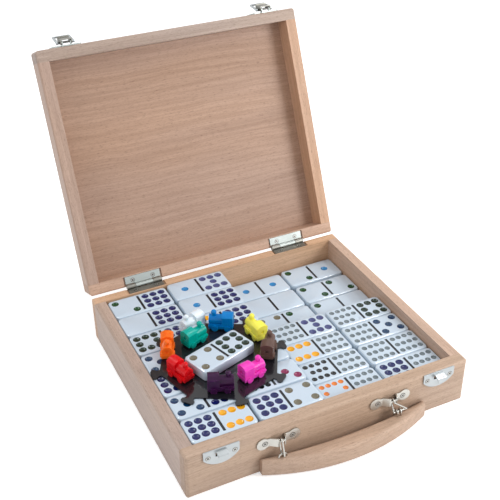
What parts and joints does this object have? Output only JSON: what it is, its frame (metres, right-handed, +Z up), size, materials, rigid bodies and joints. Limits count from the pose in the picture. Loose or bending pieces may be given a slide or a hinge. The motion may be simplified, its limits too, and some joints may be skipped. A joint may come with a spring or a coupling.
{
  "type": "domino storage box",
  "caption": "Wooden case for dominoes with a hinged lid, two toggle latches and a swinging carrying handle, filled with tiles, a hub plate and toy trains.",
  "frame": {"origin": "middle of the tray's underside", "axes": "+Z up, +X to the viewer's right along the front, +Y from the front to the hinges"},
  "size_m": [0.23, 0.3237, 0.2287],
  "materials": {
    "beech": "satin",
    "beech_panel": "satin",
    "nickel": "satin",
    "nickel_bright": "bright",
    "steel_pin": "satin",
    "tile": "gloss",
    "hub": "gloss",
    "train_orange": "gloss",
    "train_red": "gloss",
    "train_teal": "gloss",
    "train_white": "gloss",
    "train_blue": "gloss",
    "train_yellow": "gloss",
    "train_brown": "gloss",
    "train_pink": "gloss",
    "train_purple": "gloss"
  },
  "bodies": {
    "tray": {"tray_front": "beech", "tray_back": "beech", "tray_left": "beech", "tray_right": "beech", "tray_floor": "beech", "hinge_tray_leaves": "nickel", "hinge_pins": "steel_pin", "hinge_tray_screws": "nickel", "strikes": "nickel", "strike_screws": "nickel", "handle_straps": "nickel_bright", "strap_screws": "nickel", "tiles_bottom": "tile", "tiles_second": "tile", "tiles_third": "tile", "tiles_top": "tile"},
    "lid": {"lid_front": "beech", "lid_back": "beech", "lid_left": "beech", "lid_right": "beech", "lid_panel": "beech_panel", "hinge_lid_leaves": "nickel", "hinge_lid_screws": "nickel", "latch_plates": "nickel", "latch_pins": "steel_pin", "latch_screws": "nickel"},
    "lever_left": {"lever_left": "nickel"},
    "lever_right": {"lever_right": "nickel"},
    "loop_left": {"loop_left": "nickel_bright"},
    "loop_right": {"loop_right": "nickel_bright"},
    "link_left": {"link_left": "nickel_bright"},
    "link_right": {"link_right": "nickel_bright"},
    "grip": {"grip": "beech", "grip_eyes": "nickel_bright"},
    "contents": {"hub": "hub", "hub_tile": "tile", "train_orange": "train_orange", "train_red": "train_red", "train_teal": "train_teal", "train_white": "train_white", "train_blue": "train_blue", "train_yellow": "train_yellow", "train_brown": "train_brown", "train_pink": "train_pink", "train_purple": "train_purple"}
  },
  "joints": [
    {"name": "lid_hinge", "type": "hinge", "parent": "tray", "child": "lid", "pos_m": [0, 0.1011, 0.039], "axis": [-1, 0, 0], "range_deg": [-113.6, 0]},
    {"name": "lever_left_pivot", "type": "hinge", "parent": "lid", "child": "lever_left", "pos_m": [-0.0885, 0.18649, 0.22595], "axis": [1, 0, 0], "range_deg": [-12, 90]},
    {"name": "loop_left_pivot", "type": "hinge", "parent": "lever_left", "child": "loop_left", "pos_m": [-0.0885, 0.18909, 0.2247], "axis": [-1, 0, 0], "range_deg": [-166, 20]},
    {"name": "lever_right_pivot", "type": "hinge", "parent": "lid", "child": "lever_right", "pos_m": [0.0885, 0.18649, 0.22595], "axis": [1, 0, 0], "range_deg": [-12, 90]},
    {"name": "loop_right_pivot", "type": "hinge", "parent": "lever_right", "child": "loop_right", "pos_m": [0.0885, 0.18909, 0.2247], "axis": [-1, 0, 0], "range_deg": [-166, 20]},
    {"name": "link_left_swing", "type": "hinge", "parent": "tray", "child": "link_left", "pos_m": [-0.0447, -0.1048, 0.02641], "axis": [-1, 0, 0], "range_deg": [0, 90]},
    {"name": "link_right_swing", "type": "hinge", "parent": "tray", "child": "link_right", "pos_m": [0.0467, -0.1048, 0.02641], "axis": [-1, 0, 0], "range_deg": [0, 90]},
    {"name": "grip_swing", "type": "hinge", "parent": "link_left", "child": "grip", "pos_m": [-0.0447, -0.1076, 0.0181], "axis": [1, 0, 0], "range_deg": [-80, 0]},
    {"name": "contents_lift", "type": "slide", "parent": "tray", "child": "contents", "axis": [0, 0, 1], "range_m": [0, 0.06]}
  ],
  "couplings": [
    {"joint": "link_right_swing", "follows": "link_left_swing", "ratio": 1}
  ]
}
